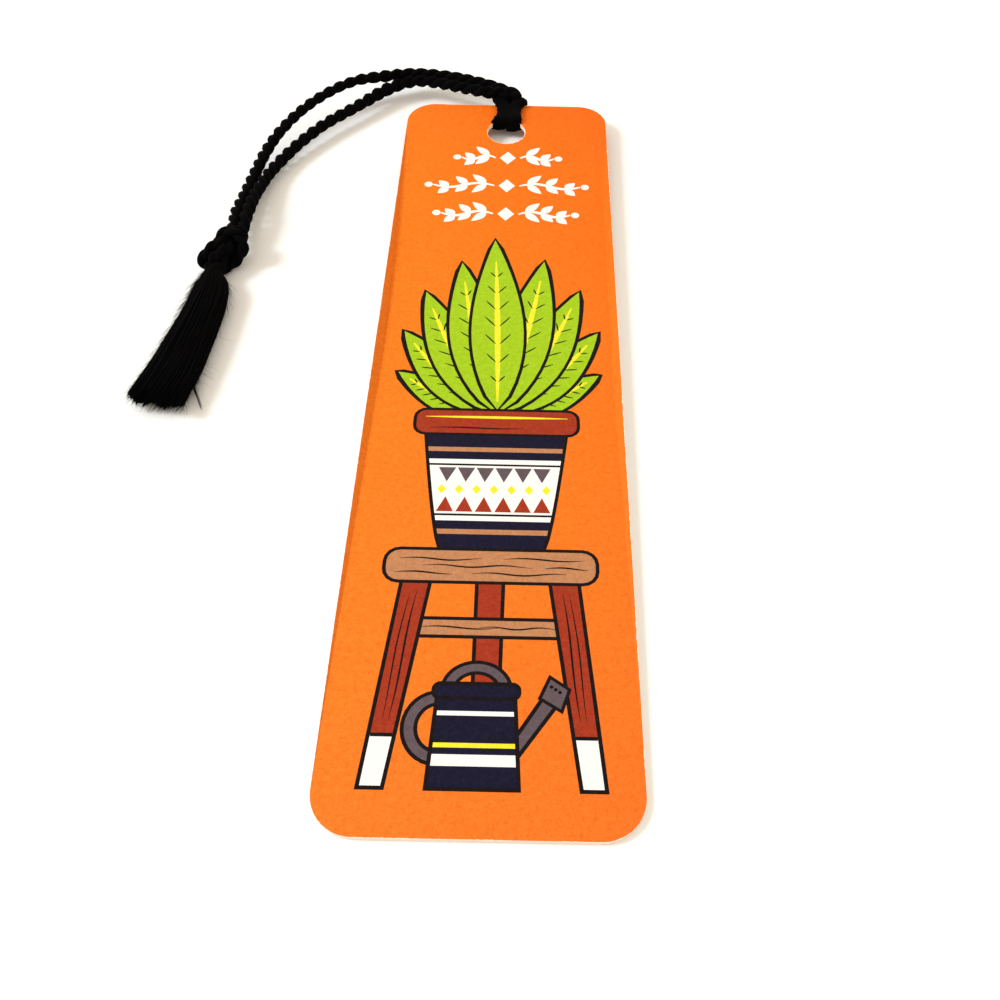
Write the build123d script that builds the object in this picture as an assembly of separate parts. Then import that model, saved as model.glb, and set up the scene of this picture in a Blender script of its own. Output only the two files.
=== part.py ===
from build123d import *
import math
import os

# Bookmark: a thin printed card with a rounded outline and one punched hole,
# and a black twisted cord hitched through the hole. The doubled cord curves
# away to the left, is tied in one knot and ends in a frayed skirt.
# Millimetres. X across the card, Y along it towards the hole, Z up from the
# table. The origin is under the middle of the card, on the table.

# ---- card -----------------------------------------------------------------
CARD_W = 32.0          # across
CARD_L = 120.0         # along
CORNER_R = 4.5         # rounded corners
SHEET_T = 0.08         # printed facing, one on each side
CORE_T = 0.44          # white board between the facings
CARD_T = CORE_T + 2 * SHEET_T
LIFT = 2.0             # rise of the holed end, which lies on the hitch
BEND_Y = 0.0           # the card is flat below this line and curls above it
HOLE_D = 6.0
HOLE_Y = CARD_L / 2 - 7.0

EDGE_Y = CARD_L / 2
RUN = EDGE_Y - BEND_Y
BEND_R = (RUN ** 2 + LIFT ** 2) / (2 * LIFT)

# ---- cord -----------------------------------------------------------------
LEG_D = 1.65           # the free cord
TAIL_D = 1.45          # the legs where the hitch pinches them
BIGHT_D = 1.30         # the bight, drawn tight over the card's edge
NIP_X = 1.30           # each strand off the middle, in the hole
NIP_Y = 54.82          # the strands lie against the hole's upper wall
WAIST_X = 0.98         # strands drawn together on the strip above the hole
EYE_X = 2.14           # strands spread round the two legs, past the edge
BAR_Y = 62.18          # the bar of the hitch, beyond the card's edge
BAR_Z = 2.25
RISE_X = 0.74          # each leg where it climbs between edge and bar
RISE_Y = 60.775
UNDER_Z = 0.85         # centre of the strands below the card
JOIN_Z = 1.95          # the bight meets the tails half way through the hole
GAP = 0.30             # free end to free end, where the cord bends
END_Y = 31.05          # the legs bend here when the tassel is lifted

# ---- knot and skirt -------------------------------------------------------
KNOT_AT = (-38.8, 21.1, 2.6)
KNOT_A = 4.55          # half length
KNOT_B = 3.20          # half width
KNOT_C = 2.55          # half height
KNOT_TURN = 52.1       # long way of the knot, from +X
KNOT_TOP_Y = 24.6      # legs go in
KNOT_LOW_Y = 17.4      # skirt comes out
KNOT_SLICES = 9
WISP_D = 0.55

# x, y, width, height, centre height of the skirt, from the knot down
SKIRT = [
    (-39.65, 16.70, 2.4, 2.2, 2.00),
    (-39.45, 15.00, 4.2, 3.0, 1.86),
    (-39.45, 12.40, 5.2, 3.2, 1.74),
    (-39.80, 8.80, 5.8, 3.2, 1.71),
    (-40.50, 3.80, 6.3, 3.0, 1.61),
    (-41.30, -1.50, 6.9, 2.8, 1.50),
    (-42.40, -6.30, 7.2, 2.5, 1.33),
]


def rise(y):
    """Height of the card's back above the table at y."""
    d = max(y - BEND_Y, 0.0)
    return BEND_R - math.sqrt(BEND_R ** 2 - d * d)


FRONT = CARD_T + BIGHT_D / 2 + 0.03     # strand centre above the card's back

# ---- cord routes ----------------------------------------------------------
BIGHT_HALF = [
    (NIP_X, NIP_Y, JOIN_Z),
    (NIP_X, NIP_Y, rise(56.0) + FRONT),
    (WAIST_X, 57.8, rise(57.8) + FRONT),
    (EYE_X, 60.55, rise(EDGE_Y) + FRONT + 0.045),
    (EYE_X, BAR_Y, BAR_Z),
]
BIGHT = BIGHT_HALF + [(-x, y, z) for x, y, z in reversed(BIGHT_HALF)]
BIGHT_TIGHT = {1: 1.00, 8: 1.00}

TAIL_RIGHT = [
    (NIP_X, NIP_Y, JOIN_Z),
    (NIP_X, NIP_Y, UNDER_Z),
    (RISE_X, RISE_Y, 0.95),
    (RISE_X, RISE_Y, 3.75),
    (0.62, 62.75, 3.75),
    (-2.45, 64.28, 3.86),
    (-5.50, 65.47, 3.70),
]
TAIL_RIGHT_TIGHT = {1: 1.04, 2: 1.00, 3: 1.10, 4: 1.10}

TAIL_LEFT = [
    (-NIP_X, NIP_Y, JOIN_Z),
    (-NIP_X, NIP_Y, UNDER_Z),
    (-RISE_X, RISE_Y, 0.95),
    (-RISE_X, RISE_Y, 4.05),
    (-1.32, 62.10, 4.05),
    (-3.55, 62.42, 4.02),
    (-5.58, 63.06, 3.87),
]
TAIL_LEFT_TIGHT = {1: 1.04, 2: 1.00, 3: 0.90, 4: 0.90}

# the stretch between the place that bends when the loop is lifted and the
# place that bends when it is swung
ROOT_OUTER = [
    (-5.78, 65.58, 3.69),
    (-8.84, 67.00, 3.50),
    (-12.00, 68.08, 3.33),
]

ROOT_INNER = [
    (-5.86, 63.16, 3.84),
    (-8.80, 64.72, 3.46),
    (-11.80, 65.92, 3.09),
]

LEG_OUTER = [
    (-12.28, 68.17, 3.31),
    (-16.58, 68.98, 3.20),
    (-20.73, 67.54, 3.62),
    (-25.41, 64.74, 3.92),
    (-30.16, 60.57, 3.50),
    (-33.61, 55.96, 2.95),
    (-35.94, 51.37, 2.40),
    (-37.33, 46.67, 1.98),
    (-38.10, 41.26, 1.74),
    (-38.50, 35.40, 1.82),
    (-38.62, END_Y + GAP / 2, 2.12),
]

LEG_INNER = [
    (-12.08, 66.04, 3.06),
    (-14.80, 66.84, 2.83),
    (-17.70, 66.55, 2.56),
    (-20.60, 64.60, 2.30),
    (-24.74, 59.62, 2.12),
    (-29.17, 54.94, 2.00),
    (-32.46, 50.13, 1.68),
    (-34.93, 45.61, 1.26),
    (-36.30, 41.19, 1.32),
    (-36.75, 35.00, 2.10),
    (-36.84, END_Y + GAP / 2, 2.46),
]

# the last stretch above the knot, which bends when the tassel is lifted
END_OUTER = [
    (-38.64, END_Y - GAP / 2, 2.16),
    (-38.62, 28.00, 2.38),
    (-38.50, KNOT_TOP_Y + GAP, 2.50),
]

END_INNER = [
    (-36.84, END_Y - GAP / 2, 2.50),
    (-36.86, 28.00, 2.55),
    (-36.80, KNOT_TOP_Y + GAP, 2.50),
]

WISP = [
    (-38.20, -2.00, 0.46),
    (-37.40, -4.50, 0.42),
    (-36.65, -7.00, 0.34),
]


def corner_radii(points, tight):
    """One radius for each corner: the tangent takes 0.45 of the shorter run,
    or the size stated where the cord goes tightly round the card or itself."""
    out = []
    for i in range(1, len(points) - 1):
        a, b, c = (Vector(*p) for p in points[i - 1:i + 2])
        half = math.radians((b - a).get_angle(c - b)) / 2
        short = min((b - a).length, (c - b).length)
        out.append(tight.get(i, 0.45 * short / math.tan(half)))
    return out


def tube(name, points, diameter, tight=None):
    radii = corner_radii(points, tight or {})
    path = FilletPolyline(*points, radius=radii)
    start = Plane(origin=points[0], z_dir=Vector(*points[1]) - Vector(*points[0]))
    solid = sweep(start * Circle(diameter / 2), path=path)
    exact = math.pi * diameter ** 2 / 4 * path.length
    print(f"{name}: {path.length:.1f} mm long, volume {solid.volume:.2f} of {exact:.2f}, "
          f"radii {', '.join(f'{r:.1f}' for r in radii)}")
    return solid


def layer(low, high):
    """One layer of the card, from low to high above its back."""
    def on_arc(offset, y):
        r = BEND_R - offset
        return (y, BEND_R - math.sqrt(r * r - (y - BEND_Y) ** 2))

    back = -EDGE_Y - 1.0
    front = EDGE_Y + 1.0
    mid = (BEND_Y + front) / 2
    profile = Plane.YZ * make_face(
        Line((back, low), (BEND_Y, low))
        + ThreePointArc((BEND_Y, low), on_arc(low, mid), on_arc(low, front))
        + Line(on_arc(low, front), on_arc(high, front))
        + ThreePointArc(on_arc(high, front), on_arc(high, mid), (BEND_Y, high))
        + Line((BEND_Y, high), (back, high))
        + Line((back, high), (back, low))
    )
    sheet = extrude(profile, amount=CARD_W / 2 + 1.0, both=True)
    outline = RectangleRounded(CARD_W, CARD_L, CORNER_R) - Pos(0, HOLE_Y) * Circle(HOLE_D / 2)
    cutter = Pos(0, 0, -1.0) * extrude(outline, amount=LIFT + CARD_T + 3.0)
    return (sheet & cutter).solid()


def knot():
    """The tied lump: an egg of cord lying askew, cut where the cord goes in
    and out. Each slice of the egg across Y is an ellipse."""
    turn = math.radians(KNOT_TURN)
    c, s = math.cos(turn), math.sin(turn)
    xx = (c / KNOT_A) ** 2 + (s / KNOT_B) ** 2
    yy = (s / KNOT_A) ** 2 + (c / KNOT_B) ** 2
    xy = c * s * (1 / KNOT_A ** 2 - 1 / KNOT_B ** 2)
    reach = 1 / math.sqrt(yy - xy * xy / xx)
    x0, y0, z0 = KNOT_AT
    slices = []
    for i in range(KNOT_SLICES):
        y = KNOT_LOW_Y + (KNOT_TOP_Y - KNOT_LOW_Y) * i / (KNOT_SLICES - 1)
        size = math.sqrt(1 - ((y - y0) / reach) ** 2)
        at = Plane(origin=(x0 - (y - y0) * xy / xx, y, z0), x_dir=(1, 0, 0), z_dir=(0, 1, 0))
        slices.append(at * Ellipse(size / math.sqrt(xx), KNOT_C * size))
    return loft(slices)


def skirt():
    faces = []
    for i, (x, y, w, h, z) in enumerate(SKIRT):
        x0, y0 = SKIRT[max(i - 1, 0)][:2]
        x1, y1 = SKIRT[min(i + 1, len(SKIRT) - 1)][:2]
        # the first face stays square to the knot's lower face
        along = Vector(0, -1, 0) if i == 0 else Vector(x1 - x0, y1 - y0, 0).normalized()
        across = Vector(0, 0, 1).cross(along)
        faces.append(Plane(origin=(x, y, z), x_dir=across, z_dir=along) * Ellipse(w / 2, h / 2))
    return loft(faces)


os.makedirs("parts", exist_ok=True)

nodes = {
    "back_print_sheet": layer(0.0, SHEET_T),
    "board_core": layer(SHEET_T, SHEET_T + CORE_T),
    "front_print_sheet": layer(SHEET_T + CORE_T, CARD_T),
    "hitch_bight": tube("hitch_bight", BIGHT, BIGHT_D, BIGHT_TIGHT),
    "hitch_tail_left": tube("hitch_tail_left", TAIL_LEFT, TAIL_D, TAIL_LEFT_TIGHT),
    "hitch_tail_right": tube("hitch_tail_right", TAIL_RIGHT, TAIL_D, TAIL_RIGHT_TIGHT),
    "cord_root_outer": tube("cord_root_outer", ROOT_OUTER, LEG_D),
    "cord_root_inner": tube("cord_root_inner", ROOT_INNER, LEG_D),
    "cord_leg_outer": tube("cord_leg_outer", LEG_OUTER, LEG_D),
    "cord_leg_inner": tube("cord_leg_inner", LEG_INNER, LEG_D),
    "cord_end_outer": tube("cord_end_outer", END_OUTER, LEG_D),
    "cord_end_inner": tube("cord_end_inner", END_INNER, LEG_D),
    "knot": knot(),
    "skirt_bundle": skirt(),
    "skirt_wisp": tube("skirt_wisp", WISP, WISP_D),
}

for name, solid in nodes.items():
    box = solid.bounding_box()
    print(f"{name}: {solid.volume:.2f} mm3, x {box.min.X:.2f}..{box.max.X:.2f}, "
          f"y {box.min.Y:.2f}..{box.max.Y:.2f}, z {box.min.Z:.2f}..{box.max.Z:.2f}")
    export_step(solid, f"parts/{name}.step")
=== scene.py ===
import bpy
import math
import numpy as np
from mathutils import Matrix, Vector
from mathutils.geometry import delaunay_2d_cdt


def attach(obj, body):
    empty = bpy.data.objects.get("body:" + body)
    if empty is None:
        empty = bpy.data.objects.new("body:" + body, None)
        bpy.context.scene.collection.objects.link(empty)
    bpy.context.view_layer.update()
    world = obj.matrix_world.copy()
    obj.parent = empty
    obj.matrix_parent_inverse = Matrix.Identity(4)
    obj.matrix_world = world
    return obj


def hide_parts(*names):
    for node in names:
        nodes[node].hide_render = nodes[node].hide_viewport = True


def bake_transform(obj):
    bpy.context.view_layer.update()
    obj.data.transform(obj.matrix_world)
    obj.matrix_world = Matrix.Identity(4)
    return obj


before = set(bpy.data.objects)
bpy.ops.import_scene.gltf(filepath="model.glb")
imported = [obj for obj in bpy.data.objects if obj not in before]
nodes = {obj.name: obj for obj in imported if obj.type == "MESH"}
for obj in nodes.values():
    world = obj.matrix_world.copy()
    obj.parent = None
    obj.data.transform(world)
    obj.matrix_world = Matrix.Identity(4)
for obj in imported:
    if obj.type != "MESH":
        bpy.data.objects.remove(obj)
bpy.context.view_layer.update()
scene = bpy.context.scene
MM = 0.001
rng = np.random.default_rng(20)

# ---------------------------------------------------------------- camera
cam_data = bpy.data.cameras.new("camera")
cam_data.sensor_fit = "HORIZONTAL"
cam_data.sensor_width = 36.0
cam_data.lens = 36.126
cam_data.shift_x = -0.02046
cam_data.clip_start = 0.004
cam_data.clip_end = 20.0
camera = bpy.data.objects.new("camera", cam_data)
camera.location = (0.00330, -0.09189, 0.09289)
camera.rotation_euler = [math.radians(a) for a in (37.817, -0.775, 0.893)]
scene.collection.objects.link(camera)
scene.camera = camera

# ---------------------------------------------------------------- card sizes
CARD_W, CARD_L, CORNER_R = 32.0, 120.0, 4.5      # mm
SHEET_T, CARD_T, LIFT = 0.08, 0.60, 2.0
HOLE_R, HOLE_Y = 3.0, 53.0
BEND_R = (60.0 ** 2 + LIFT ** 2) / (2 * LIFT)


def rise(y):
    """Height of the card's back above the table, in mm."""
    d = np.maximum(y, 0.0)
    return BEND_R - np.sqrt(BEND_R ** 2 - d * d)


# ---------------------------------------------------------------- cord route
# The cord is one length: from the skirt up through the knot, along the outer
# leg, through the hitch, and back along the inner leg into the knot. Metres.
LEG_D = 0.00165
BIGHT_RIGHT = [
    (0.00110, 0.05530, 0.00298),
    (0.00112, 0.05705, 0.00295),
    (0.00114, 0.05890, 0.00307),
    (0.00242, 0.06035, 0.00320),
    (0.00270, 0.06135, 0.00230),
]
BIGHT_LEFT = [
    (-0.00182, 0.06205, 0.00225),
    (-0.00166, 0.06075, 0.00325),
    (-0.00050, 0.05890, 0.00307),
    (-0.00042, 0.05670, 0.00295),
    (-0.00080, 0.05522, 0.00292),
]
BIGHT_SIZE = [(2.56, 0.86), (2.36, 1.00), (2.32, 1.04), (1.85, 1.26), (1.55, 1.34)]
TAIL_RIGHT = [
    (0.00124, 0.05528, 0.00195),
    (0.00132, 0.05510, 0.00104),
    (0.00125, 0.06077, 0.00095),
    (0.00152, 0.06085, 0.00335),
    (0.00174, 0.06108, 0.00372),
    (-0.00260, 0.06370, 0.00382),
]
TAIL_LEFT = [
    (-0.00128, 0.05540, 0.00195),
    (-0.00152, 0.05530, 0.00124),
    (-0.00035, 0.06077, 0.00095),
    (-0.00020, 0.06080, 0.00380),
    (-0.00098, 0.06138, 0.00392),
    (-0.00340, 0.06146, 0.00396),
]
TAIL_SIZE = [(2.74, 0.88), (2.72, 0.96), (1.70, 1.22), (2.05, 1.70), (2.10, 1.80), (1.90, 1.80)]
ROOT_OUTER = [
    (-0.00287, 0.06384, 0.00380),
    (-0.00581, 0.06537, 0.00366),
    (-0.00860, 0.06658, 0.00350),
]
ROOT_INNER = [
    (-0.00369, 0.06153, 0.00396),
    (-0.00620, 0.06263, 0.00374),
    (-0.00871, 0.06402, 0.00342),
]
LEG_OUTER = [
    (-0.00888, 0.06670, 0.00348),
    (-0.01258, 0.06778, 0.00330),
    (-0.01656, 0.06828, 0.00320),
    (-0.02062, 0.06638, 0.00362),
    (-0.02543, 0.06457, 0.00392),
    (-0.03021, 0.06054, 0.00350),
    (-0.03368, 0.05596, 0.00295),
    (-0.03601, 0.05137, 0.00240),
    (-0.03740, 0.04667, 0.00198),
    (-0.03813, 0.04126, 0.00174),
    (-0.03859, 0.03545, 0.00182),
    (-0.03894, 0.03120, 0.00212),
]
LEG_INNER = [
    (-0.00899, 0.06417, 0.00340),
    (-0.01222, 0.06578, 0.00305),
    (-0.01578, 0.06693, 0.00274),
    (-0.02015, 0.06492, 0.00236),
    (-0.02466, 0.05929, 0.00222),
    (-0.02906, 0.05456, 0.00216),
    (-0.03230, 0.04968, 0.00192),
    (-0.03474, 0.04509, 0.00158),
    (-0.03623, 0.04055, 0.00176),
    (-0.03690, 0.03438, 0.00255),
    (-0.03692, 0.03120, 0.00295),
]
END_OUTER = [
    (-0.03892, 0.03090, 0.00216),
    (-0.03874, 0.02800, 0.00238),
    (-0.03850, 0.02490, 0.00250),
]
END_INNER = [
    (-0.03693, 0.03090, 0.00298),
    (-0.03703, 0.02800, 0.00295),
    (-0.03689, 0.02490, 0.00260),
]
# each strand's turns through the overhand knot, from the top down
KNOT_OUTER = [
    (-0.03842, 0.02415, 0.00248), (-0.03840, 0.02330, 0.00295), (-0.03875, 0.02234, 0.00362),
    (-0.03957, 0.02145, 0.00378), (-0.04055, 0.02062, 0.00347), (-0.04132, 0.01975, 0.00292),
    (-0.04168, 0.01942, 0.00189), (-0.04079, 0.01972, 0.00105), (-0.03990, 0.02057, 0.00090),
    (-0.03890, 0.02131, 0.00109), (-0.03789, 0.02192, 0.00153), (-0.03693, 0.02247, 0.00211),
    (-0.03632, 0.02316, 0.00294), (-0.03648, 0.02399, 0.00382), (-0.03745, 0.02432, 0.00402),
    (-0.03846, 0.02414, 0.00364), (-0.03915, 0.02347, 0.00294), (-0.03950, 0.02281, 0.00232),
    (-0.03962, 0.02164, 0.00191), (-0.03988, 0.02041, 0.00185), (-0.04038, 0.01928, 0.00194),
    (-0.04055, 0.01808, 0.00186), (-0.04035, 0.01710, 0.00175), (-0.04025, 0.01620, 0.00160),
]
KNOT_INNER = [
    (-0.03720, 0.02405, 0.00240), (-0.03780, 0.02305, 0.00242), (-0.03806, 0.02194, 0.00296),
    (-0.03837, 0.02080, 0.00338), (-0.03910, 0.01977, 0.00349), (-0.03984, 0.01891, 0.00303),
    (-0.03966, 0.01872, 0.00187), (-0.03938, 0.01920, 0.00085), (-0.03847, 0.02002, 0.00070),
    (-0.03746, 0.02063, 0.00113), (-0.03652, 0.02122, 0.00193), (-0.03598, 0.02188, 0.00294),
    (-0.03624, 0.02262, 0.00385), (-0.03728, 0.02311, 0.00440), (-0.03846, 0.02351, 0.00444),
    (-0.03940, 0.02308, 0.00382), (-0.03990, 0.02240, 0.00318), (-0.03950, 0.02138, 0.00281),
    (-0.03886, 0.02035, 0.00244), (-0.03858, 0.01918, 0.00209), (-0.03883, 0.01798, 0.00201),
    (-0.03890, 0.01710, 0.00190), (-0.03895, 0.01620, 0.00175),
]
KNOT_D = 1.52


ROUTE, SIZE, MARK = [], [], {}


def add(name, points, sizes):
    """Appends a stretch to the route, with its width and thickness in mm."""
    MARK[name] = len(ROUTE)
    ROUTE.extend(points)
    SIZE.extend(sizes)


# thickness of each leg in mm at its control points, from the hitch down
OUTER_D = [1.84, 1.84, 1.82, 1.92, 1.68, 1.66, 1.68, 1.74, 1.82, 1.86, 1.88, 1.88]
INNER_D = [1.86, 1.88, 1.94, 2.12, 1.84, 1.80, 1.82, 1.86, 1.86, 1.88, 1.88]
d_leg = LEG_D / MM
add("knot_outer", KNOT_OUTER[::-1], [(KNOT_D, KNOT_D)] * len(KNOT_OUTER))
add("end_outer", END_OUTER[::-1], [(1.62, 1.62), (1.84, 1.84), (1.88, 1.88)])
add("leg_outer", LEG_OUTER[::-1], [(d, d) for d in OUTER_D[::-1]])
add("root_outer", ROOT_OUTER[::-1], [(1.84, 1.84), (1.84, 1.82), (1.84, 1.80)])
add("tail_right", TAIL_RIGHT[::-1], TAIL_SIZE[::-1])
add("bight_right", BIGHT_RIGHT, BIGHT_SIZE)
add("bight_left", BIGHT_LEFT, BIGHT_SIZE[::-1])
add("tail_left", TAIL_LEFT, TAIL_SIZE)
add("root_inner", ROOT_INNER, [(1.84, 1.82), (1.86, 1.84), (1.86, 1.86)])
add("leg_inner", LEG_INNER, [(d, d) for d in INNER_D])
add("end_inner", END_INNER, [(1.88, 1.88), (1.84, 1.84), (1.62, 1.62)])
add("knot_inner", KNOT_INNER, [(KNOT_D, KNOT_D)] * len(KNOT_INNER))

RESOLUTION = 14


def nurbs_line(name, points):
    """Points along a smooth NURBS spline with these control points."""
    data = bpy.data.curves.new(name, "CURVE")
    data.dimensions = "3D"
    data.resolution_u = RESOLUTION
    spline = data.splines.new("NURBS")
    spline.points.add(len(points) - 1)
    for p, co in zip(spline.points, points):
        p.co = (*co, 1.0)
    spline.order_u = 3
    spline.use_endpoint_u = True
    obj = bpy.data.objects.new(name, data)
    scene.collection.objects.link(obj)
    bpy.context.view_layer.update()
    mesh = bpy.data.meshes.new_from_object(obj)
    line = np.array([v.co for v in mesh.vertices], float)
    bpy.data.objects.remove(obj)
    bpy.data.curves.remove(data)
    bpy.data.meshes.remove(mesh)
    return line


def lengths(line):
    return np.concatenate([[0.0], np.cumsum(np.linalg.norm(np.diff(line, axis=0), axis=1))])


def along(line, s, at):
    return np.stack([np.interp(at, s, line[:, k]) for k in range(3)], 1)


def unit(v):
    return v / np.maximum(np.linalg.norm(v, axis=-1, keepdims=True), 1e-12)


raw = nurbs_line("cord_route", ROUTE)
raw_s = lengths(raw)
STEP = 0.115 * MM
COUNT = int(round(raw_s[-1] / STEP))
S = np.linspace(0.0, raw_s[-1], COUNT + 1)
P = along(raw, raw_s, S)
T = unit(np.gradient(P, axis=0))


def s_at(i):
    """Length along the cord beside control point i."""
    per = (len(raw) - 1) / (len(ROUTE) - 2)
    return float(np.interp((i - 0.5) * per, np.arange(len(raw)), raw_s))


def ring_at(i):
    return int(round(s_at(i) / STEP))


def ring_near(point):
    return int(np.argmin(np.linalg.norm(P - point, axis=1)))


WIDTH = np.interp(S, [s_at(i) for i in range(len(ROUTE))], [w for w, _ in SIZE]) / d_leg
THICK = np.interp(S, [s_at(i) for i in range(len(ROUTE))], [t for _, t in SIZE]) / d_leg

# the twist stands out less where the cord is drawn tight
RELIEF = np.interp(S, [s_at(MARK["root_outer"] + 1), s_at(MARK["tail_right"] + 2), s_at(MARK["bight_right"]),
                       s_at(MARK["bight_left"] + 4), s_at(MARK["tail_left"] + 3), s_at(MARK["root_inner"] + 1)],
                   [1.0, 0.70, 0.16, 0.16, 0.70, 1.0])

# a frame carried along the cord without turning: U lies in the card's plane
U = np.zeros_like(P)
first = ring_at(MARK["bight_right"] + 2)
u = np.array([1.0, 0.0, 0.0])
for i in range(first, len(P)):
    u = unit(u - T[i] * (u @ T[i]))
    U[i] = u
u = np.array([1.0, 0.0, 0.0])
for i in range(first, -1, -1):
    u = unit(u - T[i] * (u @ T[i]))
    U[i] = u
V = np.cross(T, U)
# the left strand of the hitch lies as flat on the card as the right one
a0, a1, a2 = ring_at(MARK["bight_right"] + 4), ring_at(MARK["bight_left"] + 1), ring_at(MARK["tail_left"] + 2)
flat = unit(np.array([1.0, 0.0, 0.0]) - T * T[:, :1])
turn = np.zeros(len(P))
turn[a1:a2 + 1] = np.unwrap(np.arctan2((flat * V).sum(1), (flat * U).sum(1))[a1:a2 + 1])
turn[a0:a1] = np.linspace(0.0, turn[a1], a1 - a0, endpoint=False)
turn[a2 + 1:] = turn[a2]
U, V = (U * np.cos(turn)[:, None] + V * np.sin(turn)[:, None], V * np.cos(turn)[:, None] - U * np.sin(turn)[:, None])

PLY_R = 0.51 * MM        # of each ply in the free cord
PLY_OFF = 0.315 * MM     # of its middle from the cord's
PITCH = 4.15 * MM
FIBRE_PITCH = 1.6 * MM
SIDES = 18


def tube_faces(rings, sides, base=0, caps=True):
    i = np.arange(rings - 1)[:, None] * sides
    j = np.arange(sides)[None, :]
    k = (j + 1) % sides
    quads = np.stack([i + j, i + k, i + sides + k, i + sides + j], -1).reshape(-1, 4) + base
    faces = quads.tolist()
    if caps:
        faces.append([base + q for q in range(sides)][::-1])
        faces.append([base + (rings - 1) * sides + q for q in range(sides)])
    return faces


def catmull(points, q):
    """Smooth curve through rows of points, at q from 0 to 1."""
    pts = np.asarray(points, float)
    n = len(pts) - 1
    x = np.clip(np.asarray(q, float) * n, 0, n - 1e-9)
    i = x.astype(int)
    f = (x - i)[:, None]
    p0, p1 = pts[np.maximum(i - 1, 0)], pts[i]
    p2, p3 = pts[i + 1], pts[np.minimum(i + 2, n)]
    return 0.5 * (2 * p1 + (p2 - p0) * f + (2 * p0 - 5 * p1 + 4 * p2 - p3) * f ** 2
                  + (3 * p1 - p0 - 3 * p2 + p3) * f ** 3)


class Shape:
    """Gathers tubes into one mesh."""

    def __init__(self):
        self.verts, self.faces, self.count = [], [], 0

    def rings(self, rings, caps=True):
        n, sides = rings.shape[:2]
        self.faces += tube_faces(n, sides, self.count, caps)
        self.verts.append(rings.reshape(-1, 3))
        self.count += n * sides

    def tube(self, line, radius, sides=5, squash=1.0):
        t = unit(np.gradient(line, axis=0))
        up = np.array([0.0, 0.0, 1.0])
        a = np.cross(t, up)
        bad = np.linalg.norm(a, axis=1) < 0.2
        a[bad] = np.cross(t[bad], [1.0, 0.0, 0.0])
        a = unit(a)
        b = np.cross(t, a)
        ang = np.arange(sides) * 2 * math.pi / sides
        r = np.broadcast_to(np.asarray(radius, float), (len(line),))[:, None, None]
        self.rings(line[:, None] + r * (np.cos(ang)[None, :, None] * a[:, None]
                                        + squash * np.sin(ang)[None, :, None] * b[:, None]))

    def make(self, name, material, smooth=True):
        mesh = bpy.data.meshes.new(name)
        mesh.from_pydata(np.concatenate(self.verts).tolist(), [], self.faces)
        mesh.update()
        if smooth:
            mesh.polygons.foreach_set("use_smooth", [True] * len(mesh.polygons))
        mesh.materials.append(material)
        obj = bpy.data.objects.new(name, mesh)
        scene.collection.objects.link(obj)
        return obj


def plies(shape, i0, i1):
    """Two twisted plies round the route, from ring i0 to ring i1."""
    lo, hi = max(i0 - 2, 0), min(i1 + 3, len(P))
    p, t, a, b, s = P[lo:hi], T[lo:hi], U[lo:hi], V[lo:hi], S[lo:hi]
    w, h = WIDTH[lo:hi, None, None], THICK[lo:hi, None, None]
    off_r = PLY_OFF * RELIEF[lo:hi, None, None]
    ply_r = PLY_R + PLY_OFF - off_r
    ang = np.arange(SIDES) * 2 * math.pi / SIDES
    for side in (0, 1):
        psi = (side * math.pi - 2 * math.pi * s / PITCH)[:, None]
        n = np.cos(psi) * a + np.sin(psi) * b
        centre = p + off_r[:, 0] * n
        tp = unit(np.gradient(centre, axis=0))
        q = unit(np.cross(tp, n))
        ridge = 1 + 0.05 * np.cos(6 * ang[None, :] - (2 * math.pi * s / FIBRE_PITCH)[:, None])
        off = (off_r * n[:, None] + ply_r * ridge[..., None]
               * (np.cos(ang)[None, :, None] * n[:, None] + np.sin(ang)[None, :, None] * q[:, None]))
        flat = (w * (off * a[:, None]).sum(-1, keepdims=True) * a[:, None]
                + h * (off * b[:, None]).sum(-1, keepdims=True) * b[:, None]
                + (off * t[:, None]).sum(-1, keepdims=True) * t[:, None])
        rings = p[:, None] + flat
        shape.rings(rings[i0 - lo:i1 - lo + 1])


def hair(shape, start, direction, bend, length, radius, rings=5):
    q = np.linspace(0, 1, rings)[:, None]
    line = start + direction * length * q + bend * length * q * q
    line[:, 2] = np.maximum(line[:, 2], radius * 1.5)
    shape.tube(line, radius * (1 - 0.7 * q[:, 0]), sides=3)


def fuzz(shape, i0, i1, per_mm):
    """Short loose fibres standing off the cord."""
    for _ in range(int((i1 - i0) * STEP / MM * per_mm)):
        i = int(rng.integers(i0 + 1, max(i1 - 1, i0 + 2)))
        psi = rng.uniform(0, 2 * math.pi)
        n = math.cos(psi) * U[i] * WIDTH[i] + math.sin(psi) * V[i] * THICK[i]
        start = P[i] + n * 0.62 * MM
        d = unit(unit(n) * rng.uniform(0.5, 1.0) + T[i] * rng.uniform(-1.0, 1.0))
        hair(shape, start, d, rng.normal(0, 0.35, 3), rng.uniform(0.22, 0.62) * MM,
             rng.uniform(0.007, 0.012) * MM, 4)


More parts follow.
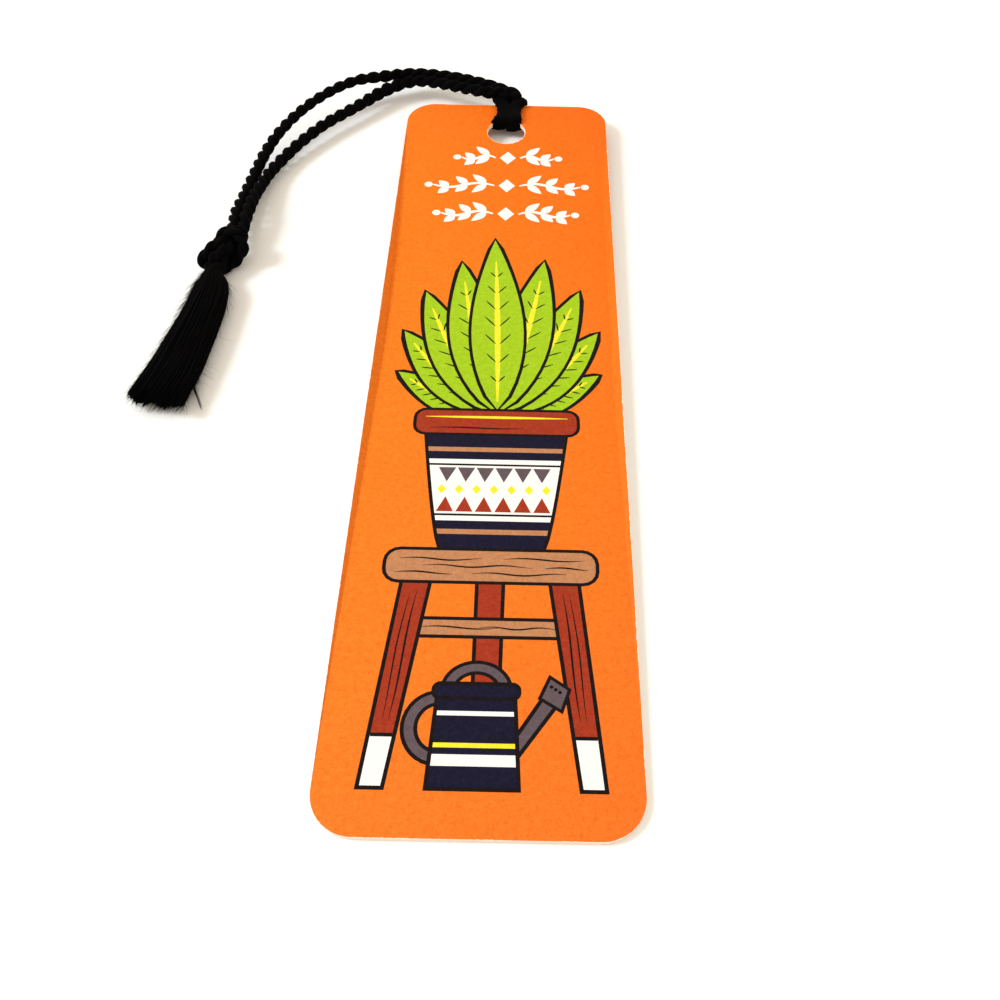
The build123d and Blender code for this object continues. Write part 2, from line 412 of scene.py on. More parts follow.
# ---------------------------------------------------------------- materials
class Nodes:
    """A material under construction."""

    def __init__(self, name):
        self.mat = bpy.data.materials.new(name)
        self.mat.use_nodes = True
        self.tree = self.mat.node_tree
        self.bsdf = self.tree.nodes["Principled BSDF"]
        self.where = self.new("ShaderNodeTexCoord").outputs["Object"]

    def new(self, kind):
        return self.tree.nodes.new(kind)

    def link(self, a, b):
        self.tree.links.new(a, b)

    def noise(self, scale, detail=3.0, rough=0.55, stretch=None):
        n = self.new("ShaderNodeTexNoise")
        n.inputs["Scale"].default_value = scale
        n.inputs["Detail"].default_value = detail
        n.inputs["Roughness"].default_value = rough
        if stretch:
            m = self.new("ShaderNodeMapping")
            m.inputs["Scale"].default_value = stretch
            self.link(self.where, m.inputs["Vector"])
            self.link(m.outputs["Vector"], n.inputs["Vector"])
        else:
            self.link(self.where, n.inputs["Vector"])
        return n.outputs["Fac"]

    def ramp(self, fac, stops):
        r = self.new("ShaderNodeValToRGB")
        e = r.color_ramp.elements
        while len(e) < len(stops):
            e.new(0.5)
        for k, (pos, col) in enumerate(stops):
            e[k].position = pos
            e[k].color = (*col, 1.0) if len(col) == 3 else col
        self.link(fac, r.inputs["Fac"])
        return r.outputs["Color"]

    def math(self, op, a, b=None, clamp=False):
        m = self.new("ShaderNodeMath")
        m.operation = op
        m.use_clamp = clamp
        for k, v in enumerate((a, b)):
            if v is None:
                continue
            if isinstance(v, (int, float)):
                m.inputs[k].default_value = v
            else:
                self.link(v, m.inputs[k])
        return m.outputs["Value"]

    def span(self, value, a, b, c=0.0, d=1.0):
        m = self.new("ShaderNodeMapRange")
        m.inputs["From Min"].default_value = a
        m.inputs["From Max"].default_value = b
        m.inputs["To Min"].default_value = c
        m.inputs["To Max"].default_value = d
        self.link(value, m.inputs["Value"])
        return m.outputs["Result"]

    def mix(self, fac, a, b, blend="MIX"):
        m = self.new("ShaderNodeMix")
        m.data_type = "RGBA"
        m.blend_type = blend
        for key, v in ((0, fac), (6, a), (7, b)):
            if isinstance(v, (int, float)):
                m.inputs[key].default_value = v
            elif isinstance(v, tuple):
                m.inputs[key].default_value = (*v, 1.0)
            else:
                self.link(v, m.inputs[key])
        return m.outputs[2]

    def bump(self, height, strength, distance):
        b = self.new("ShaderNodeBump")
        b.inputs["Strength"].default_value = strength
        b.inputs["Distance"].default_value = distance
        self.link(height, b.inputs["Height"])
        self.link(b.outputs["Normal"], self.bsdf.inputs["Normal"])

    def set(self, name, value):
        if isinstance(value, (int, float, tuple)):
            self.bsdf.inputs[name].default_value = value
        else:
            self.link(value, self.bsdf.inputs[name])


def yarn(name, low, high):
    m = Nodes(name)
    fibre = m.noise(5200.0, 4.0, 0.65)
    blotch = m.noise(420.0, 2.0)
    tone = m.math("MULTIPLY", m.math("ADD", fibre, blotch), 0.5)
    m.set("Base Color", m.ramp(tone, [(0.30, low), (0.72, high)]))
    m.set("Roughness", m.span(fibre, 0.3, 0.7, 0.72, 0.95))
    m.set("Specular IOR Level", 0.022)
    m.set("Sheen Weight", 0.008)
    m.set("Sheen Roughness", 0.45)
    m.bump(m.noise(9000.0, 3.0, 0.7), 0.55, 0.00006)
    return m.mat


YARN = yarn("black_twisted_yarn", (0.0006, 0.0005, 0.0006), (0.0026, 0.0022, 0.0024))
FRINGE = yarn("black_combed_yarn", (0.0005, 0.0005, 0.0006), (0.0024, 0.0020, 0.0022))

WHITE = (0.90, 0.865, 0.825)
RUBBED = (0.93, 0.77, 0.64)


def edge_inset(m):
    """Distance in from the card's outline, in metres."""
    xyz = m.new("ShaderNodeSeparateXYZ")
    m.link(m.where, xyz.inputs["Vector"])
    qx = m.math("SUBTRACT", m.math("ABSOLUTE", xyz.outputs["X"]), (CARD_W / 2 - CORNER_R) * MM)
    qy = m.math("SUBTRACT", m.math("ABSOLUTE", xyz.outputs["Y"]), (CARD_L / 2 - CORNER_R) * MM)
    mx, my = m.math("MAXIMUM", qx, 0.0), m.math("MAXIMUM", qy, 0.0)
    far = m.math("SQRT", m.math("ADD", m.math("MULTIPLY", mx, mx), m.math("MULTIPLY", my, my)))
    near = m.math("MINIMUM", m.math("MAXIMUM", qx, qy), 0.0)
    border = m.math("SUBTRACT", CORNER_R * MM, m.math("ADD", far, near))
    hy = m.math("SUBTRACT", xyz.outputs["Y"], HOLE_Y * MM)
    x2 = m.math("MULTIPLY", xyz.outputs["X"], xyz.outputs["X"])
    rim = m.math("SUBTRACT", m.math("SQRT", m.math("ADD", x2, m.math("MULTIPLY", hy, hy))), HOLE_R * MM)
    return m.math("MINIMUM", border, m.math("MULTIPLY", rim, 0.6)), xyz


def ink(name, colour, rich=None, grain=1.0):
    """Print on smooth paper: a fine dot grain, broad tone drift, and white
    paper showing through along the rubbed edges."""
    m = Nodes(name)
    inset, xyz = edge_inset(m)
    speck = m.noise(5600.0, 2.0, 0.7)
    mottle = m.noise(1500.0, 3.0, 0.6)
    drift = m.noise(45.0, 2.0)
    dark = tuple(c * (1 - 0.20 * grain) for c in colour)
    light = tuple(min(c * (1 + 0.13 * grain) + 0.008 * grain, 1.0) for c in colour)
    dots = m.math("ADD", m.math("MULTIPLY", speck, 0.6), m.math("MULTIPLY", mottle, 0.4))
    tone = m.ramp(dots, [(0.36, dark), (0.50, colour), (0.64, light)])
    if rich:
        ends = m.math("MULTIPLY", m.math("MULTIPLY", xyz.outputs["Y"], xyz.outputs["Y"]), 80.0)
        lean = m.math("ADD", m.math("MULTIPLY", xyz.outputs["X"], 14.0),
                      m.math("ADD", m.math("MULTIPLY", xyz.outputs["Y"], 2.5), ends))
        fac = m.math("ADD", m.math("ADD", lean, 0.22), m.math("MULTIPLY", drift, 0.25), clamp=True)
        tone = m.mix(fac, tone, m.ramp(dots, [(0.36, tuple(c * 0.84 for c in rich)), (0.50, rich),
                                              (0.64, tuple(min(c * 1.10 + 0.006, 1.0) for c in rich))]))
        low = m.math("ADD", m.math("MULTIPLY", xyz.outputs["Y"], -9.0), 0.30, clamp=True)
        pale = (0.80, 0.172, 0.034)
        tone = m.mix(m.math("MULTIPLY", low, 0.45), tone,
                     m.ramp(dots, [(0.36, tuple(c * 0.84 for c in pale)), (0.50, pale),
                                   (0.64, tuple(min(c * 1.10 + 0.006, 1.0) for c in pale))]))
    nick = m.noise(1900.0, 4.0, 0.7)
    patch = m.noise(160.0, 2.0)
    reach = m.math("MULTIPLY", m.span(nick, 0.42, 0.75, 0.0, 1.0), m.span(patch, 0.42, 0.75, 0.00002, 0.00016))
    wear = m.math("LESS_THAN", inset, m.math("ADD", reach, 0.00002))
    face = m.new("ShaderNodeSeparateXYZ")
    m.link(m.new("ShaderNodeNewGeometry").outputs["True Normal"], face.inputs["Vector"])
    side = m.math("LESS_THAN", m.math("ABSOLUTE", face.outputs["Z"]), 0.5)
    wear = m.math("MAXIMUM", wear, side)
    m.set("Base Color", m.mix(wear, tone, RUBBED))
    m.set("Roughness", m.span(mottle, 0.3, 0.7, 0.40, 0.52))
    m.set("Specular IOR Level", 0.05)
    m.bump(m.math("ADD", mottle, m.math("MULTIPLY", m.noise(380.0, 3.0), 0.8)), 0.10, 0.00005)
    return m.mat


def paper(name):
    """Cut edge of white board, with the pinkish tint the print leaves on it."""
    m = Nodes(name)
    fibre = m.noise(2600.0, 4.0, 0.7, (1.0, 1.0, 3.0))
    stain = m.noise(260.0, 3.0)
    tone = m.ramp(fibre, [(0.30, (0.78, 0.64, 0.54)), (0.62, (0.92, 0.83, 0.74))])
    m.set("Base Color", m.mix(m.span(stain, 0.40, 0.72, 0.0, 0.55), tone, (0.92, 0.62, 0.44)))
    m.set("Roughness", m.span(fibre, 0.3, 0.7, 0.78, 0.95))
    m.set("Specular IOR Level", 0.2)
    m.bump(fibre, 0.5, 0.00008)
    return m.mat


# ---------------------------------------------------------------- cord pieces
n_hitch0, n_hitch1 = ring_at(MARK["root_outer"] + 2), ring_at(MARK["root_inner"])
n_root_o, n_root_i = ring_near((-0.0081, 0.0667, 0.0035)), ring_near((-0.0081, 0.0641, 0.0035))
n_bend_o, n_bend_i = ring_at(MARK["leg_outer"] + len(LEG_OUTER) - 4), ring_at(MARK["leg_inner"] + 3)
n_knot_o, n_knot_i = ring_at(MARK["end_outer"]), ring_at(MARK["end_inner"] + 2)


def stretch(name, spans, per_mm=15.0):
    shape = Shape()
    for a, b in spans:
        plies(shape, a, b)
        fuzz(shape, a, b, per_mm)
    return shape.make(name, YARN)


def clear_of_card(shape):
    """Moves what would lie inside the card out to its hole's wall or its nearest face."""
    for verts in shape.verts:
        x, y, z = verts[:, 0] / MM, verts[:, 1] / MM - HOLE_Y, verts[:, 2] / MM
        low = rise(y + HOLE_Y)
        r = np.hypot(x, y)
        depth = np.stack([z - low, low + CARD_T - z, r - HOLE_R, CARD_L / 2 - HOLE_Y - y])
        inside = depth.min(0) > -0.02
        wall = inside & (r < HOLE_R + 0.9)
        pull = np.where(wall, (HOLE_R - 0.03) / np.maximum(r, 0.1), 1.0)
        side = depth[[0, 1, 3]].argmin(0)
        rest = inside & ~wall
        z = np.where(rest & (side == 0), low - 0.03, z)
        z = np.where(rest & (side == 1), low + CARD_T + 0.03, z)
        y = np.where(rest & (side == 2), CARD_L / 2 - HOLE_Y + 0.03, y * pull)
        verts[:] = np.stack([x * pull, y + HOLE_Y, z], 1) * MM


hitch_shape = Shape()
plies(hitch_shape, n_hitch0, n_hitch1)
fuzz(hitch_shape, n_hitch0, n_hitch1, 6.0)
# the strands pressed together under the bar of the hitch
pressed = catmull([(-0.0006, 0.0614, 0.0026), (0.0004, 0.0615, 0.0028), (0.0013, 0.0615, 0.0027),
                   (0.0021, 0.0611, 0.0024)], np.linspace(0, 1, 14))
hitch_shape.tube(pressed, np.interp(np.linspace(0, 1, 14), [0, 0.3, 0.7, 1.0], [0.32, 0.58, 0.58, 0.32]) * MM, sides=12)
clear_of_card(hitch_shape)
hitch = hitch_shape.make("hitch_cord", YARN)
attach(hitch, "card")
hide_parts("hitch_bight", "hitch_tail_left", "hitch_tail_right")

root_outer = stretch("root_outer_cord", [(n_root_o, n_hitch0)])
root_inner = stretch("root_inner_cord", [(n_hitch1, n_root_i)])
for piece, node in ((root_outer, "cord_root_outer"), (root_inner, "cord_root_inner")):
    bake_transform(piece)
    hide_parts(node)

bend_outer = stretch("bend_outer_cord", [(n_bend_o, n_root_o)])
bend_inner = stretch("bend_inner_cord", [(n_root_i, n_bend_i)])
for piece in (bend_outer, bend_inner):
    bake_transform(piece)

run_outer = stretch("run_outer_cord", [(n_knot_o, n_bend_o)])
run_inner = stretch("run_inner_cord", [(n_bend_i, n_knot_i)])
for piece, names in ((run_outer, ("cord_leg_outer", "cord_end_outer")),
                     (run_inner, ("cord_leg_inner", "cord_end_inner"))):
    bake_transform(piece)
    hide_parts(*names)

knot_shape = Shape()
for a, b in ((0, n_knot_o), (n_knot_i, len(P) - 1)):
    plies(knot_shape, a, b)
    fuzz(knot_shape, a, b, 9.0)
# the turns drawn together in the middle of the knot
packed = catmull([(-0.0378, 0.0250, 0.0024), (-0.0381, 0.0234, 0.0025), (-0.0388, 0.0217, 0.0025),
                  (-0.0397, 0.0204, 0.0024), (-0.0403, 0.0196, 0.0022)], np.linspace(0, 1, 22))
swell = np.interp(np.linspace(0, 1, 22), [0, 0.2, 0.5, 0.8, 1.0], [0.55, 1.00, 1.25, 1.10, 0.60]) * MM
knot_shape.tube(packed, swell * (1 + 0.04 * np.sin(np.arange(22) * 1.9)), sides=16, squash=0.8)
packed = catmull([(-0.0392, 0.0214, 0.0023), (-0.0400, 0.0208, 0.0022), (-0.0407, 0.0202, 0.0020),
                  (-0.0412, 0.0197, 0.0018)], np.linspace(0, 1, 14))
knot_shape.tube(packed, np.interp(np.linspace(0, 1, 14), [0, 0.4, 0.8, 1.0], [0.70, 0.85, 0.66, 0.40]) * MM, sides=14)
knot = knot_shape.make("knot_cord", YARN)
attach(knot, "tie")
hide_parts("knot")

# ---------------------------------------------------------------- skirt
# x, y, width, height, centre height; the first row is inside the knot
SKIRT = np.array([
    (-0.03943, 0.0186, 0.0019, 0.0016, 0.00200),
    (-0.03953, 0.0167, 0.0027, 0.0023, 0.00200),
    (-0.03933, 0.0150, 0.0042, 0.0030, 0.00186),
    (-0.03933, 0.0124, 0.0052, 0.0032, 0.00174),
    (-0.03960, 0.0088, 0.0057, 0.0032, 0.00171),
    (-0.04022, 0.0037, 0.0062, 0.0032, 0.00176),
    (-0.04096, -0.0016, 0.0068, 0.0031, 0.00172),
    (-0.04200, -0.0067, 0.0071, 0.0032, 0.00185),
    (-0.04260, -0.0094, 0.0073, 0.0032, 0.00190),
])
WISP = [
    (-0.03822, -0.00343, 0.00060),
    (-0.03747, -0.00495, 0.00048),
    (-0.03658, -0.00690, 0.00038),
]


def skirt_line(a, b, q):
    """A line down the skirt at the place (a, b) of its round section."""
    rows = catmull(SKIRT, q)
    centre = np.stack([rows[:, 0], rows[:, 1], rows[:, 4]], 1)
    t = unit(np.gradient(centre, axis=0) * [1, 1, 0])
    across = np.stack([-t[:, 1], t[:, 0], np.zeros(len(t))], 1)
    return centre + across * (a * rows[:, 2] / 2)[:, None] + np.stack(
        [np.zeros(len(t)), np.zeros(len(t)), b * rows[:, 3] / 2], 1)


def ragged(a, b):
    """How far down the skirt a thread at (a, b) reaches, 0 to 1."""
    left = min(max((-0.1 - a) / 0.45, 0.0), 1.0)
    return (0.864 + 0.012 * left * left * (3 - 2 * left) + 0.006 * math.sin(7.0 * a + 0.4)
            + 0.004 * math.sin(15.0 * a + 3.0 * b) + rng.normal(0, 0.005))


skirt = Shape()
q_core = np.linspace(0.03, 0.832, 22)
core_rings = []
for j in range(24):
    ang = j * 2 * math.pi / 24
    core_rings.append(skirt_line(np.full(22, 0.84 * math.cos(ang)), np.full(22, 0.84 * math.sin(ang)), q_core))
skirt.rings(np.stack(core_rings, 1)[::-1])

THREADS = 330
for i in range(THREADS):
    ang = i * 2.399963
    r = 0.62 + 0.36 * ((i + 0.5) / THREADS) ** 0.7 if i > 40 else 0.45
    end = ragged(r * math.cos(ang), r * math.sin(ang))
    q = np.linspace(0.0, end, 30)
    turn = ang + rng.normal(0, 0.10) * q + 0.09 * np.sin(q * rng.uniform(4, 9) + rng.uniform(0, 6.3)) * q
    swell = r + rng.normal(0, 0.02) * q + 0.05 * np.sin(q * rng.uniform(5, 12) + rng.uniform(0, 6.3)) * q
    a, b = swell * np.cos(turn), swell * np.sin(turn)
    line = skirt_line(a, b, q)
    line[:, 2] = np.maximum(line[:, 2], 0.12 * MM)
    radius = rng.uniform(0.098, 0.125) * MM * np.interp(q / end, [0, 0.95, 1.0], [1.0, 1.0, 0.7])
    skirt.tube(line, radius, sides=6)

# finer fibres past the cut ends
for i in range(1500):
    ang, r = rng.uniform(0, 2 * math.pi), math.sqrt(rng.uniform(0.02, 0.98))
    a, b = r * math.cos(ang), r * math.sin(ang)
    end = ragged(a, b) + abs(rng.normal(0.0, 0.016))
    q = np.linspace(end - rng.uniform(0.10, 0.22), end, 9)
    u = np.linspace(0, 1, 9) ** 2
    line = skirt_line(a + rng.normal(0, 0.035) * u, b + rng.normal(0, 0.05) * u, q)
    line[:, 2] = np.maximum(line[:, 2], 0.06 * MM)
    skirt.tube(line, rng.uniform(0.014, 0.034) * MM * (1 - 0.6 * u), sides=3)

# the stray lock at the lower right
for i in range(6):
    jitter = rng.normal(0, 0.055, 3) * MM * [1, 1, 0.5]
    rows = [(-0.0394, 0.0020, 0.0010), (-0.0388, -0.0016, 0.00078)] + WISP
    pts = np.array(rows) + jitter * np.linspace(0.6, 2.0, 5)[:, None]
    line = catmull(pts, np.linspace(0, rng.uniform(0.84, 1.0), 18))
    line[:, 2] = np.maximum(line[:, 2], 0.07 * MM)
    skirt.tube(line, np.linspace(0.085, 0.030, 18) * MM, sides=5)

# loose fibres down both sides, and a few long strays
for i in range(1500):
    side = 1.0 if rng.uniform() < 0.36 else -1.0
    q0 = rng.uniform(0.06, 0.86) if side < 0 else 0.86 - 0.66 * rng.uniform() ** 1.8
    a = side * rng.uniform(0.86, 1.0)
    b = rng.uniform(-0.45, 0.50)
    p = skirt_line(np.array([a, a]), np.array([b, b]), np.array([q0, q0 + 0.02]))
    t = unit(p[1] - p[0])
    out = np.array([-t[1], t[0], 0.0]) * side
    clump = 0.5 + 0.5 * math.sin(47.0 * q0 + 2.0 * math.sin(21.0 * q0))
    d = unit(t + out * abs(rng.normal(0.02, 0.10 + 0.16 * clump)) + [0, 0, rng.uniform(-0.12, 0.12)])
    hair(skirt, p[0], d, out * rng.normal(0.02, 0.14) + [0, 0, rng.normal(0, 0.08)], rng.uniform(0.7, 2.6) * MM,
         rng.uniform(0.011, 0.020) * MM, 6)
# curling fibres beside the stray lock
for i in range(70):
    start = np.array([-0.0386, -0.0006, 0.0009]) + rng.uniform(-1, 1, 3) * [0.0004, 0.0030, 0.0005]
    d = unit(np.array([rng.uniform(0.1, 0.8), -1.0, rng.uniform(-0.25, 0.05)]))
    hair(skirt, start, d, np.array([rng.normal(0.1, 0.35), rng.normal(0, 0.25), -0.05]),
         rng.uniform(1.2, 3.2) * MM, rng.uniform(0.010, 0.017) * MM, 8)
# a few long strays
for x, y, dx, dy, bx, by, reach in ((-0.0424, 0.0036, -0.95, -0.30, 0.25, 0.30, 5.6),
                                    (-0.0430, 0.0024, -0.80, -0.35, -0.20, 0.15, 5.2),
                                    (-0.0437, -0.0002, -0.60, -0.60, -0.30, 0.10, 2.6),
                                    (-0.0446, -0.0030, -0.45, -0.85, -0.30, 0.20, 2.2),
                                    (-0.0373, 0.0062, 0.55, -0.80, 0.50, 0.35, 2.8),
                                    (-0.0377, 0.0040, 0.70, -0.50, 0.10, -0.40, 2.2),
                                    (-0.0382, 0.0008, 0.80, -0.70, -0.30, -0.30, 2.4),
                                    (-0.0386, -0.0020, 0.90, -0.60, -0.20, -0.50, 2.0)):
    hair(skirt, np.array([x, y, 0.0012]), unit(np.array([dx, dy, -0.05])), np.array([bx, by, -0.05]),
         reach * MM, 0.011 * MM, 12)

skirt_obj = skirt.make("skirt_threads", FRINGE)
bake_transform(skirt_obj)
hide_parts("skirt_bundle", "skirt_wisp")

# ---------------------------------------------------------------- print
# A generic picture in flat inks: a leafy plant in a patterned pot on a plain
# wooden stool, a watering can under it and leaf ornaments above. Each shape is
# an outline in mm on the card, and a later one covers an earlier one.
INKS = ["ground", "outline", "navy", "rust", "tan", "mauve", "white", "lime", "yellow"]
shapes = []


def paint(points, name):
    shapes.append((np.asarray(points, float), INKS.index(name)))


def arc(cx, cy, rx, ry, a0, a1, n):
    t = np.radians(np.linspace(a0, a1, n))
    return np.stack([cx + rx * np.cos(t), cy + ry * np.sin(t)], 1)


def rounded(x0, y0, x1, y1, r, n=5):
    rs = r if isinstance(r, tuple) else (r,) * 4            # from lower left, anticlockwise
    corners = [(x0 + rs[0], y0 + rs[0], rs[0], 180), (x1 - rs[1], y0 + rs[1], rs[1], 270),
               (x1 - rs[2], y1 - rs[2], rs[2], 0), (x0 + rs[3], y1 - rs[3], rs[3], 90)]
    return np.concatenate([arc(x, y, q, q, a, a + 90, n) for x, y, q, a in corners])


def stroke(points, width, taper=0.0):
    """A drawn line of that width; taper thins it towards both ends."""
    p = np.asarray(points, float)
    t = np.gradient(p, axis=0)
    t /= np.linalg.norm(t, axis=1)[:, None]
    n = np.stack([-t[:, 1], t[:, 0]], 1)
    q = np.linspace(0, 1, len(p))
    w = (width / 2 * (1 - taper * np.abs(2 * q - 1) ** 2))[:, None]
    return np.concatenate([p + n * w, (p - n * w)[::-1]])


def leaf(x, y, angle, length, width, curl=0.12, grow=0.0):
    """A pointed leaf from its foot (x, y); grow makes the outline behind it."""
    q = np.linspace(0, 1, 15)
    half = width / 2 * np.sin(math.pi * q ** 0.82) ** 0.9 + grow * np.interp(q, [0, 0.06, 0.94, 1], [0, 1, 1, 0])
    u0 = q * (length + 2.2 * grow) - 0.8 * grow
    mid = curl * length * (q ** 2)
    side1 = np.stack([u0, mid + half], 1)
    side2 = np.stack([u0, mid - half], 1)[::-1]
    pts = np.concatenate([side1, side2[1:-1]])
    c, s = math.cos(math.radians(angle)), math.sin(math.radians(angle))
    return pts @ np.array([[c, s], [-s, c]]) + [x, y]


def leaf_rib(x, y, angle, length, curl=0.12, part=0.86):
    q = np.linspace(0.04, part, 9)
    pts = np.stack([q * length, curl * length * q ** 2], 1)
    c, s = math.cos(math.radians(angle)), math.sin(math.radians(angle))
    return pts @ np.array([[c, s], [-s, c]]) + [x, y]


def grown(points, d):
    """The outline of a convex shape, d larger all round."""
    p = np.asarray(points, float)
    area = np.sum(p[:, 0] * np.roll(p[:, 1], -1) - np.roll(p[:, 0], -1) * p[:, 1])
    a = p - np.roll(p, 1, axis=0)
    b = np.roll(p, -1, axis=0) - p
    n1 = np.stack([a[:, 1], -a[:, 0]], 1) / np.linalg.norm(a, axis=1)[:, None]
    n2 = np.stack([b[:, 1], -b[:, 0]], 1) / np.linalg.norm(b, axis=1)[:, None]
    n = (n1 + n2) / (1 + np.sum(n1 * n2, axis=1))[:, None]
    return p + n * d * (1 if area > 0 else -1)


LINE = 0.42


def shape(points, name, line=LINE):
    paint(grown(points, line), "outline")
    paint(points, name)


def wave(x0, x1, y, swing, turns, width, name="outline", n=16, slope=0.0):
    x = np.linspace(x0, x1, n)
    q = np.linspace(0, 1, n)
    paint(stroke(np.stack([x, y + slope * q + swing * np.sin(q * turns * 2 * math.pi)], 1), width, 0.8), name)


CX = 0.3                 # middle of the picture
GROUND, SEAT = -55.0, -27.6

# stool: back leg, rung, front legs with dipped feet, seat
back = np.array([(CX - 1.1, -53.2), (CX + 1.1, -53.2), (CX + 1.25, SEAT - 3), (CX - 1.25, SEAT - 3)])
shape(back, "rust")
shape(np.array([(CX - 9.6, -38.4), (CX + 9.6, -38.4), (CX + 9.6, -36.6), (CX - 9.6, -36.6)]), "tan")
for x0, x1, k in ((CX - 7.4, CX + 1.0, 1.0), (CX - 1.0, CX + 7.4, 1.6)):
    wave(x0, x1, -37.5, 0.14, k, 0.20)
for sgn in (-1, 1):
    top_in, top_out, foot_in, foot_out = 6.6, 9.4, 9.7, 11.7
    leg = np.array([(foot_in, GROUND), (foot_out, GROUND), (top_out, SEAT - 3), (top_in, SEAT - 3)])
    dip = 5.2 / (SEAT - 3 - GROUND)
    tip = np.array([leg[0], leg[1], leg[1] + (leg[2] - leg[1]) * dip, leg[0] + (leg[3] - leg[0]) * dip])
    place = lambda q: np.stack([CX + sgn * q[:, 0], q[:, 1]], 1)
    shape(place(leg), "rust")
    paint(place(tip), "white")
    paint(place(stroke(np.array([tip[3], (tip[3] + tip[2]) / 2, tip[2]]), 0.40)), "outline")
    q = np.linspace(0.28, 0.90, 12)
    for u, w in ((0.36, 0.22), (0.66, 0.16)):
        grain = (leg[0] * (1 - u) + leg[1] * u) * (1 - q)[:, None] + (leg[3] * (1 - u) + leg[2] * u) * q[:, None]
        grain[:, 0] += 0.12 * np.sin(q * 9 + 3 * u)
        paint(place(stroke(grain, w, 0.8)), "outline")
shape(rounded(CX - 11.6, SEAT - 4.0, CX + 11.6, SEAT, 1.5), "tan")
for x0, x1, y, t in ((-10.2, -1.0, -1.15, 1.2), (1.4, 10.4, -1.05, 1.0), (-7.6, 4.6, -2.05, 1.7),
                     (6.0, 10.8, -2.2, 0.7), (-10.6, -4.2, -3.0, 0.8), (-2.0, 8.4, -3.05, 1.4)):
    wave(CX + x0, CX + x1, SEAT + y, 0.15, t, 0.22)

# watering can
can_l, can_r, can_t = CX - 5.2, CX + 3.3, -44.6
spout = np.array([(CX + 2.6, -52.6), (CX + 3.0, -50.4), (CX + 6.3, -45.1), (CX + 7.3, -45.8)])
shape(spout, "mauve")
rose = np.array([(CX + 5.7, -45.5), (CX + 7.6, -46.7), (CX + 8.3, -44.6), (CX + 6.6, -43.4)])
shape(rose, "mauve", 0.36)
for k in range(3):
    q = 0.25 + 0.25 * k
    d = rose[2] * (1 - q) + rose[3] * q
    paint(arc(d[0] - 0.35, d[1] - 0.55, 0.20, 0.20, 0, 330, 10), "outline")
ring = arc(can_l + 0.6, -48.9, 2.9, 3.2, 70, 290, 22)
paint(stroke(ring, 1.75), "outline")
paint(stroke(ring[1:-1], 0.95), "mauve")
bow = arc((can_l + can_r) / 2, can_t - 0.2, 2.9, 2.6, 0, 180, 22)
paint(stroke(bow, 1.65), "outline")
paint(stroke(bow, 0.85), "mauve")
can = np.array([(can_l, GROUND), (can_r, GROUND), (can_r - 0.55, can_t), (can_l + 0.55, can_t)])
shape(can, "navy")
for y0, y1, name in ((-52.9, -51.7, "white"), (-51.0, -50.5, "yellow"), (-47.6, -47.1, "white")):
    f0, f1 = (y0 - GROUND) / (can_t - GROUND), (y1 - GROUND) / (can_t - GROUND)
    paint(np.array([can[0] + (can[3] - can[0]) * f0, can[1] + (can[2] - can[1]) * f0,
                    can[1] + (can[2] - can[1]) * f1, can[0] + (can[3] - can[0]) * f1]), name)
shape(rounded(can_l + 0.1, can_t - 0.9, can_r - 0.1, can_t + 0.35, 0.5), "navy")

# plant
POT_TOP = -6.4
leaves = [
    (-1.0, -0.3, 158, 13.4, 4.7, -0.16), (1.6, -0.3, 22, 13.4, 4.7, 0.16),
    (-0.9, -0.2, 136, 18.4, 5.6, -0.13), (1.5, -0.2, 44, 18.8, 5.6, 0.13),
    (-0.6, 0.0, 119, 24.0, 6.2, -0.10), (1.2, 0.0, 61, 24.6, 6.2, 0.10),
    (-0.2, 0.2, 104, 28.6, 6.6, -0.06), (0.8, 0.2, 76, 29.2, 6.6, 0.06),
    (CX, 0.4, 91, 33.0, 7.0, 0.02),
]
for x, y, a, n, w, c in leaves:
    y += POT_TOP
    paint(leaf(x, y, a, n, w, c, LINE), "outline")
    paint(leaf(x, y, a, n, w, c), "lime")
    paint(stroke(leaf_rib(x, y, a, n, c), 0.80, 0.75), "yellow")
    rib = leaf_rib(x, y, a, n, c)
    for k in range(1, 8):
        for sgn in (-1, 1):
            vein = a + sgn * 38
            v = np.array([math.cos(math.radians(vein)), math.sin(math.radians(vein))])
            reach = w * (0.22, 0.34, 0.40, 0.40, 0.36, 0.30, 0.20)[k - 1]
            paint(stroke(rib[k] + np.linspace(0.16, 1, 5)[:, None] * v * reach, 0.22, 0.6), "outline")

# pot
q = np.linspace(0, 1, 14)
half = 5.7 + 2.9 * q ** 0.75
tall = SEAT + 0.42 + (POT_TOP - 2.6 - SEAT) * q


def pot_band(y0, y1, n=9):
    y = np.linspace(y0, y1, n)
    h = np.interp(y, tall, half)
    return np.concatenate([np.stack([CX + h, y], 1), np.stack([CX - h, y], 1)[::-1]])


shape(pot_band(tall[0], tall[-1], 14), "navy")
paint(pot_band(-25.3, -24.6), "tan")
paint(pot_band(-23.4, -14.2), "white")
paint(pot_band(-13.0, -12.3), "tan")
paint(pot_band(-22.7, -22.4), "outline")
paint(pot_band(-15.2, -14.9), "outline")
for k in range(6):
    x = CX + (k - 2.5) * 2.25
    paint(np.array([(x - 1.0, -22.1), (x + 1.0, -22.1), (x, -19.9)]), "rust")
    paint(np.array([(x + 1.05, -15.5), (x - 1.05, -15.5), (x, -17.7)]), "mauve")
for k in range(7):
    x = CX + (k - 3) * 2.05
    paint(np.array([(x - 0.52, -18.8), (x, -19.5), (x + 0.52, -18.8), (x, -18.1)]), "yellow")
shape(rounded(CX - 9.9, POT_TOP - 3.6, CX + 9.9, POT_TOP + 0.1, 1.2), "rust")
wave(CX - 8.8, CX + 8.8, POT_TOP - 0.95, 0.0, 1.0, 0.42, "yellow")
